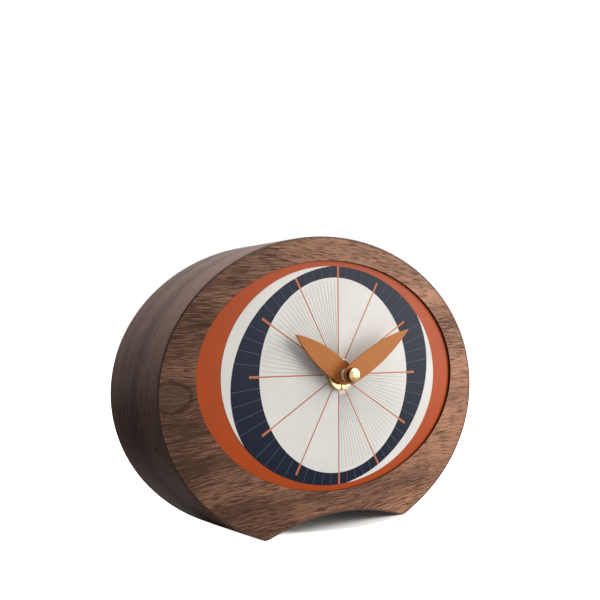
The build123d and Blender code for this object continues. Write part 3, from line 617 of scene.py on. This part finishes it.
# %% Give each node its finish
for row in frame["record"]["subparts"]:
    surface = nodes[row["node"]].data
    surface.materials.clear()
    surface.materials.append(finishes[row["material_slot"]])
# The hour wheel takes a pale, mostly non-metal finish: a painted highlight that keeps its pipe bright
# from every side.
nodes["hour_wheel"].data.materials[0] = finishes["pipe_painted_bright"]

# %% [markdown]
# ## Modelling helpers
#
# Each new piece starts as a primitive or as a single point that is drawn along a profile. The
# operators act on whatever is selected, so every helper first deselects all. `seat` ends a piece:
# its place goes into its mesh, its edges are shaded by angle, and it takes its finish and body.

# %% Selecting and drawing
def deselect():
    """Leave edit mode and select nothing."""
    if bpy.context.object and bpy.context.object.mode != "OBJECT":
        bpy.ops.object.mode_set(mode="OBJECT")
    bpy.ops.object.select_all(action="DESELECT")


def take(piece):
    """Make a piece the only selected one."""
    deselect()
    piece.select_set(True)
    bpy.context.view_layer.objects.active = piece


def one_point(name, place):
    """A mesh of one vertex, left in edit mode, to be extruded or spun."""
    deselect()
    bpy.ops.mesh.primitive_plane_add(size=MM, location=place)
    bpy.ops.object.transform_apply(location=True, rotation=True, scale=True)
    bpy.context.object.name = name
    bpy.ops.object.mode_set(mode="EDIT")
    bpy.ops.mesh.select_all(action="SELECT")
    bpy.ops.mesh.merge(type="CENTER")
    bpy.ops.mesh.select_all(action="SELECT")
    return bpy.context.object


def draw_to(step):
    """Extrude the selected vertex by a step."""
    bpy.ops.mesh.extrude_region_move(TRANSFORM_OT_translate={"value": step})


def close_surface():
    """Join doubled vertices and turn all faces outwards, in edit mode."""
    bpy.ops.mesh.select_all(action="SELECT")
    bpy.ops.mesh.remove_doubles(threshold=MM / 1000)
    bpy.ops.mesh.normals_make_consistent(inside=False)


print("drawing helpers ready")

# %% Turning, cutting and easing
def turned(name, profile, centre, steps=96):
    """Spin a profile of (radius, y) points, in millimetres, about a line along Y."""
    across, up = centre
    first = Vector((across + profile[0][0] * MM, profile[0][1] * MM, up))
    piece = one_point(name, first)
    for (r0, y0), (r1, y1) in zip(profile, profile[1:]):
        draw_to(((r1 - r0) * MM, (y1 - y0) * MM, 0))
    bpy.ops.mesh.select_all(action="SELECT")
    bpy.ops.mesh.spin(steps=steps, angle=math.tau, center=(across, 0, up), axis=(0, 1, 0))
    close_surface()
    bpy.ops.object.mode_set(mode="OBJECT")
    return piece


def add_and_apply(piece, kind, **options):
    """Add a modifier with its options and apply it."""
    take(piece)
    modifier = piece.modifiers.new(kind.lower(), kind)
    for option, value in options.items():
        setattr(modifier, option, value)
    bpy.ops.object.modifier_apply(modifier=modifier.name)


def cut_away(piece, cutter):
    """Take the cutter's shape out of a piece."""
    add_and_apply(piece, "BOOLEAN", operation="DIFFERENCE", solver="EXACT", object=cutter)
    bpy.data.objects.remove(cutter)


def ease_edges(piece, width_mm, segments=2):
    """A small bevel along the edges sharper than 35 degrees."""
    add_and_apply(piece, "BEVEL", width=width_mm * MM, segments=segments, limit_method="ANGLE",
                  angle_limit=math.radians(35), harden_normals=False)


print("turning, cutting and easing ready")

# %% Seating a piece
def seat(piece, body, slot_name, *replaced):
    """Finish a piece: place in its mesh, smooth shading, finish, body, slot and replaced nodes."""
    take(piece)
    bpy.ops.object.transform_apply(location=True, rotation=True, scale=True)
    bpy.ops.object.shade_smooth_by_angle(angle=math.radians(40))
    add_and_apply(piece, "WEIGHTED_NORMAL", mode="FACE_AREA", weight=50, keep_sharp=True)
    piece.data.materials.clear()
    piece.data.materials.append(finishes[slot_name])
    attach(piece, body)
    if replaced:
        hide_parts(*replaced)
    piece.data.calc_loop_triangles()
    print(f"{piece.name}: {len(piece.data.loop_triangles)} triangles, on body {body}")


print("pieces can be seated")

# %% [markdown]
# ## Walnut face
#
# The real face is a sheet of veneer, cut to the oval, with the dial's opening sawn out and its
# edges eased with fine paper. It is made the same way: a flat oval, sawn off at the feet,
# with the arch and the opening cut out, and then a small bevel all round. The outline could also
# be drawn and filled, but these cuts keep each curve a plain oval.

# %% Walnut face
face_low, face_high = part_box("face_veneer")
face_thickness = face_high.y - face_low.y
face_middle_y = (face_high.y + face_low.y) / 2
veneer = 0.7 * MM
arch_rise, arch_half_span = 6 * MM, 36.26 * MM
arch_radius = (arch_half_span ** 2 + arch_rise ** 2) / (2 * arch_rise)


def oval_disc(name, half_width, half_height, thickness, place, steps):
    """A flat oval in the dial's plane."""
    deselect()
    bpy.ops.mesh.primitive_cylinder_add(vertices=steps, radius=1, depth=1, rotation=(math.pi / 2, 0, 0))
    disc = bpy.context.object
    bpy.ops.object.transform_apply(location=False, rotation=True, scale=False)
    bpy.ops.object.mode_set(mode="EDIT")
    bpy.ops.mesh.select_all(action="SELECT")
    bpy.ops.transform.resize(value=(half_width, thickness, half_height))
    bpy.ops.transform.translate(value=place)
    bpy.ops.object.mode_set(mode="OBJECT")
    disc.name = name
    return disc


def sheet_of_case(name, middle_y, thickness, hole_half_width, hole_half_height):
    """The case's outline inside its side veneer, with the arch and one oval hole cut out."""
    sheet = oval_disc(name, oval_half_width - veneer, oval_half_height - veneer, thickness,
                      (0, middle_y, oval_z), 384)
    take(sheet)
    bpy.ops.object.mode_set(mode="EDIT")
    bpy.ops.mesh.select_all(action="SELECT")
    bpy.ops.mesh.bisect(plane_co=(0, 0, veneer), plane_no=(0, 0, -1), use_fill=True, clear_outer=True)
    bpy.ops.object.mode_set(mode="OBJECT")
    arch = oval_disc("arch_cutter", arch_radius, arch_radius, 3 * thickness,
                     (0, middle_y, veneer + arch_rise - arch_radius), 512)
    cut_away(sheet, arch)
    hole = oval_disc("hole_cutter", hole_half_width, hole_half_height, 3 * thickness,
                     (dial_x, middle_y, dial_z), 384)
    cut_away(sheet, hole)
    ease_edges(sheet, 0.15)
    return sheet


walnut_face = sheet_of_case("walnut_face", face_middle_y, face_thickness,
                            opening_half_width, opening_half_height)
seat(walnut_face, "case", "walnut", "face_veneer")

# %% [markdown]
# ## Hands
#
# Both hands are stamped leaves: two large arcs that meet in a point, and a small arc round the
# hub. A stretched disc would be quicker, but it has no point. So a point is spun along the arcs of
# one side, as with a pair of compasses, and mirrored. The outline is filled, and the sheet is
# given its thickness by an extrusion. A fine bevel stands for the rounded stamped edge.

# %% Hands
hub = Vector((dial_x, 0, dial_z))


def leaf_hand(name, length, half_width, waist, hole_radius, clock_angle, node):
    """A leaf shaped hand in millimetres, turned to its angle and as thick as its CAD node."""
    low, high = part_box(node)
    back = high.y
    arc_radius = ((length - waist) ** 2 + half_width ** 2) / (2 * half_width)
    arc_centre = hub + Vector((half_width - arc_radius, 0, waist)) * MM
    tip_angle = math.atan2(length - waist, arc_radius - half_width)
    foot_angle = math.asin(waist / arc_radius)
    hand = one_point(name, hub + Vector((0, back, length * MM)))
    centre = Vector((arc_centre.x, back, arc_centre.z))
    bpy.ops.mesh.spin(steps=48, angle=-(tip_angle + foot_angle), center=centre, axis=(0, 1, 0))
    bpy.ops.mesh.spin(steps=20, angle=-math.pi / 2, center=(hub.x, back, hub.z), axis=(0, 1, 0))
    bpy.ops.mesh.select_all(action="SELECT")
    bpy.ops.object.mode_set(mode="OBJECT")
    add_and_apply(hand, "MIRROR", use_axis=(True, False, False), mirror_object=hub_mark,
                  use_mirror_merge=True, merge_threshold=MM / 1000)
    bpy.ops.object.mode_set(mode="EDIT")
    bpy.ops.mesh.primitive_circle_add(vertices=48, radius=hole_radius * MM,
                                      location=hub + Vector((0, back, 0)), rotation=(math.pi / 2, 0, 0))
    bpy.ops.mesh.select_all(action="SELECT")
    bpy.ops.mesh.remove_doubles(threshold=MM / 1000)
    bpy.ops.mesh.fill(use_beauty=True)
    bpy.ops.mesh.select_all(action="SELECT")
    bpy.ops.mesh.extrude_region_move(TRANSFORM_OT_translate={"value": (0, low.y - high.y, 0)})
    close_surface()
    bpy.ops.transform.rotate(value=-math.radians(clock_angle), orient_axis="Y", center_override=hub)
    bpy.ops.object.mode_set(mode="OBJECT")
    ease_edges(hand, 0.12)
    return hand


deselect()
bpy.ops.object.empty_add(location=hub)
hub_mark = bpy.context.object
hour_leaf = leaf_hand("hour_leaf", length=31.0, half_width=4.9, waist=8.0, hole_radius=2.52,
                      clock_angle=302.7, node="hour_hand")
minute_leaf = leaf_hand("minute_leaf", length=39.2, half_width=4.55, waist=11.0, hole_radius=1.22,
                        clock_angle=60.4, node="minute_hand")
bpy.data.objects.remove(hub_mark)
seat(hour_leaf, "hour", "hand_paint", "hour_hand")
seat(minute_leaf, "minute", "hand_paint", "minute_hand")

# %% [markdown]
# ## Brass nuts
#
# Both nuts are turned parts, so half of each section is drawn and spun. A cylinder and a ball
# could be joined instead, but a spun section needs no joining. The cap nut is a short cylinder
# with a domed end, rounded where the two meet, and a small centre mark in its dome. The fixing
# nut is a flat ring with two slots for a pin key, cut after it is turned.

# %% Cap nut
cap_low, cap_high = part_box("cap_nut")
cap_back, cap_front = cap_high.y / MM, cap_low.y / MM
cap_r, dome_height, rim, mark_r = 3.0, 0.7, 0.35, 0.42
bore_r, bore_end = 1.3, cap_back - 0.9
dome_steps, rim_steps = 8, 6
dome_radius = (cap_r ** 2 + dome_height ** 2) / (2 * dome_height)
dome_centre = cap_front + dome_radius
profile = [(0.0, cap_front + 0.45), (0.25, cap_front + 0.32), (mark_r, cap_front + 0.03)]
for step in range(1, dome_steps + 1):
    radius = mark_r + (cap_r - rim - mark_r) * step / dome_steps
    profile.append((radius, dome_centre - math.sqrt(dome_radius ** 2 - radius ** 2)))
edge_y = profile[-1][1]
for step in range(1, rim_steps + 1):
    turned_by = math.radians(90 * step / rim_steps)
    profile.append((cap_r - rim + rim * math.sin(turned_by), edge_y + rim * (1 - math.cos(turned_by))))
profile += [(cap_r, cap_back - 0.12), (cap_r - 0.12, cap_back), (bore_r, cap_back), (bore_r, bore_end),
            (0.0, bore_end)]
domed_cap = turned("domed_cap", profile, (dial_x, dial_z))
seat(domed_cap, "minute", "brass", "cap_nut")

# %% Fixing nut
nut_low, nut_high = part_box("fixing_nut")
nut_back, nut_front = nut_high.y / MM, nut_low.y / MM
nut_r, nut_bore = 6.6, 4.03
profile = [(nut_bore, nut_back), (nut_r - 0.1, nut_back), (nut_r, nut_back - 0.1),
           (nut_r, nut_front + 0.35), (nut_r - 0.1, nut_front + 0.12), (nut_r - 0.35, nut_front),
           (nut_bore + 0.2, nut_front), (nut_bore, nut_front + 0.2), (nut_bore, nut_back)]
slotted_nut = turned("slotted_nut", profile, (dial_x, dial_z), 128)
slot_width, twice_slot_depth, past_both_sides = 0.8 * MM, 1.4 * MM, 16 * MM
deselect()
bpy.ops.mesh.primitive_cube_add(size=1, location=(dial_x, nut_low.y, dial_z),
                                scale=(slot_width, twice_slot_depth, past_both_sides))
slot_cutter = bpy.context.object
cut_away(slotted_nut, slot_cutter)
ease_edges(slotted_nut, 0.05, 1)
seat(slotted_nut, "case", "brass", "fixing_nut")

# %% [markdown]
# ## Movement case
#
# The movement is a moulded plastic box: a shallow tray in front, and a deep cover behind with an
# open bay for the cell. Moulded edges are never sharp. So a box is cut out like the real cover,
# and all its edges get a small rounding, which also draws the fine joint between the two halves.

# %% Box and rod helpers
def box_between(name, low, high):
    """A box given by two corners."""
    deselect()
    bpy.ops.mesh.primitive_cube_add(size=1)
    bpy.ops.object.mode_set(mode="EDIT")
    bpy.ops.transform.resize(value=[b - a for a, b in zip(low, high)])
    bpy.ops.transform.translate(value=[(a + b) / 2 for a, b in zip(low, high)])
    bpy.ops.object.mode_set(mode="OBJECT")
    bpy.context.object.name = name
    return bpy.context.object


def rod_along_y(name, radius_mm, across, up, front, back, steps=32):
    """A round bar between two depths."""
    deselect()
    middle = (across, (front + back) / 2, up)
    bpy.ops.mesh.primitive_cylinder_add(vertices=steps, radius=radius_mm * MM, depth=back - front,
                                        location=middle, rotation=(math.pi / 2, 0, 0))
    bpy.ops.object.transform_apply(location=True, rotation=True, scale=True)
    bpy.context.object.name = name
    return bpy.context.object


def join_all(first, others):
    """Unite pieces that overlap into the first one."""
    for other in others:
        add_and_apply(first, "BOOLEAN", operation="UNION", solver="EXACT", object=other)
        bpy.data.objects.remove(other)


def middle_of(node):
    """The middle of a node across and up."""
    low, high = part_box(node)
    return (low.x + high.x) / 2, (low.z + high.z) / 2


print("box and rod helpers ready")

# %% Movement cover with its rooms
low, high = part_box("back_housing")
wall, clip_t, clip_reach, clip_half = 1.2 * MM, 0.8 * MM, 3.0 * MM, 3.0 * MM
plate_t, past = 1.0 * MM, 2.0 * MM
cover_low = Vector((low.x + clip_t, low.y + clip_reach, low.z))
cover_high = Vector((high.x - clip_t, high.y, high.z))
bay_height = 15.0 * MM
movement_cover = box_between("movement_cover", cover_low, cover_high)
train_low = Vector((cover_low.x + wall, cover_low.y - past, cover_low.z + 2 * wall + bay_height))
train_high = Vector((cover_high.x - wall, cover_high.y - wall, cover_high.z - wall))
cut_away(movement_cover, box_between("train_room", train_low, train_high))
bay_low = Vector((cover_low.x + wall, cover_low.y - past, cover_low.z + wall))
bay_high = Vector((cover_high.x - wall, cover_high.y + past, cover_low.z + wall + bay_height))
cut_away(movement_cover, box_between("cell_bay", bay_low, bay_high))
label_half_width, label_depth = 20 * MM, 0.25 * MM
label_foot = cover_low.z + bay_height + 5 * MM
label_top = cover_low.z + bay_height + 17 * MM
label_low = Vector((dial_x - label_half_width, cover_high.y - label_depth, label_foot))
label_high = Vector((dial_x + label_half_width, cover_high.y + past, label_top))
cut_away(movement_cover, box_between("label_recess", label_low, label_high))
print("cover", [round(side / MM, 1) for side in cover_high - cover_low])

# %% Holes, posts and clips of the cover
setting_x, setting_z = middle_of("setting_arbor")
arbor_hole_r, pivot_hole_r = 1.05, 0.55
arbor_hole = rod_along_y("arbor_hole", arbor_hole_r, setting_x, setting_z,
                         cover_high.y - past, cover_high.y + past)
cut_away(movement_cover, arbor_hole)
pivot_front, pivot_back = cover_high.y - 1.5 * wall, cover_high.y - 0.5 * wall
for arbor in ("third_wheel", "centre_wheel", "fifth_wheel", "rotor_pinion"):
    across, up = middle_of(arbor)
    pivot_hole = rod_along_y("pivot_hole", pivot_hole_r, across, up, pivot_front, pivot_back)
    cut_away(movement_cover, pivot_hole)
posts = []
post_r, post_inset = 1.2, 1.6 * MM
post_front, post_back = cover_low.y + plate_t, cover_high.y - wall / 2
for across in (cover_low.x + wall + post_inset, cover_high.x - wall - post_inset):
    for up in (train_low.z + post_inset, train_high.z - post_inset):
        posts.append(rod_along_y("post", post_r, across, up, post_front, post_back))
join_all(movement_cover, posts)
clips = []
for left, right in ((low.x, cover_low.x + wall / 2), (cover_high.x - wall / 2, high.x)):
    clip_low = (left, low.y, dial_z - clip_half)
    clip_high = (right, low.y + 2 * clip_reach, dial_z + clip_half)
    clips.append(box_between("clip", clip_low, clip_high))
join_all(movement_cover, clips)
ease_edges(movement_cover, 0.3)
seat(movement_cover, "case", "black_plastic", "back_housing")

# %% [markdown]
# ## Setting knob
#
# The knob is turned first, with a shallow dish in its face, and then sixteen round flutes are cut
# into its rim for the fingers. One rod is added for each flute, all in one cutter, so that one
# cut makes them all. Then the mesh is closed again along its new edges.

# %% Setting knob
low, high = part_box("setting_knob")
knob_front, knob_back = low.y / MM, high.y / MM
knob_r, flutes, flute_r = 5.0, 16, 0.5
dish_floor, bore_r, bore_end = knob_back - 0.5, 1.02, knob_front + 1.5
profile = [(0.0, dish_floor), (3.1, dish_floor), (3.5, knob_back - 0.1), (3.6, knob_back),
           (4.75, knob_back), (knob_r, knob_back - 0.25), (knob_r, knob_front + 0.2),
           (4.8, knob_front), (bore_r, knob_front), (bore_r, bore_end), (0.0, bore_end)]
fluted_knob = turned("fluted_knob", profile, (setting_x, setting_z), 128)
flute_cutter = None
for index in range(flutes):
    angle = math.tau * index / flutes
    across = setting_x + knob_r * MM * math.cos(angle)
    up = setting_z + knob_r * MM * math.sin(angle)
    rod = rod_along_y("flute", flute_r, across, up, low.y - past, high.y + past, 16)
    if flute_cutter is None:
        flute_cutter = rod
        continue
    rod.select_set(True)
    flute_cutter.select_set(True)
    bpy.context.view_layer.objects.active = flute_cutter
    bpy.ops.object.join()
cut_away(fluted_knob, flute_cutter)
bpy.ops.object.mode_set(mode="EDIT")
close_surface()
bpy.ops.object.mode_set(mode="OBJECT")
seat(fluted_knob, "setting", "black_plastic", "setting_knob")

# %% [markdown]
# ## Floor and light
#
# The photograph has a white ground with a soft shadow under the arch. The floor is a large pale
# sheet. Close to the clock it is lit like any sheet, so that it keeps the shadow, and it is also
# painted a darker grey there for the camera, a painted shadow. Further out it glows white for the
# camera and for reflections, so that no horizon shows. It sends less light back to the clock than
# it shows, so that the wood isn't lit from below.

# %% Floor
deselect()
bpy.ops.mesh.primitive_plane_add(size=8)
floor = bpy.context.object
floor.name = "studio_floor"
floor_finish, tree, shader, place = new_finish("studio_floor", (0.88, 0.88, 0.88), 0.8)
shadow_centre, shadow_squeeze = (12, 7, 0), (1 / 39, 1 / 25, 1)
inputs = {0: place, 1: shadow_centre}
from_feet = add_node(tree, "ShaderNodeVectorMath", inputs, operation="SUBTRACT").outputs[0]
far_out = length_from(tree, scaled(tree, from_feet, shadow_squeeze))
path = add_node(tree, "ShaderNodeLightPath").outputs
lit_until, white_from = 0.95, 1.35
mirror_from, mirror_white_from = 8.0, 16.0
glow = spread(tree, far_out, lit_until, white_from, 0.02, 1.0)
glow = calculate(tree, "MULTIPLY", glow, path["Is Camera Ray"])
mirrored = calculate(tree, "MAXIMUM", path["Is Glossy Ray"], path["Is Transmission Ray"])
mirror_glow = spread(tree, far_out, mirror_from, mirror_white_from)
glow = calculate(tree, "MULTIPLY_ADD", mirror_glow, mirrored, glow)
shader.inputs["Emission Color"].default_value = colour(1, 1, 1)
tree.links.new(glow, shader.inputs["Emission Strength"])
# Painted shadow: near the clock the floor is painted a darker grey for the camera.
outwards = spread(tree, far_out, 0.2, lit_until)
floor_with_painted_shadow = mix_colours(tree, outwards, colour(0.66, 0.66, 0.66), colour(0.88, 0.88, 0.88))
bounce = mix_colours(tree, path["Is Camera Ray"], colour(0.34, 0.34, 0.34), floor_with_painted_shadow)
tree.links.new(bounce, shader.inputs["Base Color"])
floor.data.materials.append(floor_finish)
print("floor", tuple(round(size, 2) for size in floor.dimensions))

# %% [markdown]
# The world lights the clock softly and shows as plain white to the camera and in reflections.
# One large soft lamp stands at the right, in front of the clock and above its top, so that the
# dial mirrors it faintly at its upper right, and another hangs above. A folded dark card, half
# lying and half standing, keeps light off the clock's left side. It is hidden from the camera, as
# a card outside the picture would be.

# %% World
world = bpy.data.worlds.new("studio_world")
bpy.context.scene.world = world
world.use_nodes = True
tree = world.node_tree
tree.nodes.clear()
path = add_node(tree, "ShaderNodeLightPath").outputs
seen = calculate(tree, "MAXIMUM", path["Is Camera Ray"], path["Is Transmission Ray"])
seen = calculate(tree, "MAXIMUM", seen, path["Is Glossy Ray"])
soft_light = 0.40
soft = add_node(tree, "ShaderNodeBackground", {"Color": colour(1, 1, 1), "Strength": soft_light})
white = add_node(tree, "ShaderNodeBackground", {"Color": colour(1, 1, 1), "Strength": 1.0})
both = add_node(tree, "ShaderNodeMixShader", {0: seen, 1: soft.outputs[0], 2: white.outputs[0]})
add_node(tree, "ShaderNodeOutputWorld", {"Surface": both.outputs[0]})
print("world light", soft_light)

# %% Lamps and card
def soft_lamp(name, place, aim, size, watts, tint=(1, 1, 1)):
    """A square soft light turned towards a point."""
    deselect()
    bpy.ops.object.light_add(type="AREA", location=place)
    lamp = bpy.context.object
    lamp.name = name
    lamp.data.size = size
    lamp.data.energy = watts
    lamp.data.color = tint
    lamp.rotation_euler = (Vector(aim) - Vector(place)).to_track_quat("-Z", "Y").to_euler()


middle = (0, 0, 0.06)
soft_lamp("key_lamp", (0.50, -0.38, 0.27), middle, 0.6, 6.5, (1.0, 0.965, 0.92))
soft_lamp("top_lamp", (0.0, 0.2, 1.1), middle, 0.9, 10.0)
card_width, card_depth, card_height = 0.58, 1.6, 0.7
deselect()
bpy.ops.mesh.primitive_plane_add(size=1, location=(-0.38, 0.15, 0.002))
dark_card = bpy.context.object
dark_card.name = "dark_card"
bpy.ops.object.mode_set(mode="EDIT")
bpy.ops.transform.resize(value=(card_width, card_depth, 1))
bpy.ops.mesh.select_mode(type="EDGE")
bpy.ops.mesh.select_all(action="DESELECT")
bpy.ops.object.mode_set(mode="OBJECT")
for edge in dark_card.data.edges:
    ends = [dark_card.data.vertices[corner].co.x for corner in edge.vertices]
    edge.select = max(ends) < 0
bpy.ops.object.mode_set(mode="EDIT")
bpy.ops.mesh.extrude_region_move(TRANSFORM_OT_translate={"value": (0, 0, card_height)})
bpy.ops.object.mode_set(mode="OBJECT")
dark_card.visible_camera = False
dark_card.data.materials.append(new_finish("dark_card", (0.08, 0.08, 0.08), 0.9)[0])
print("lamps and world set")
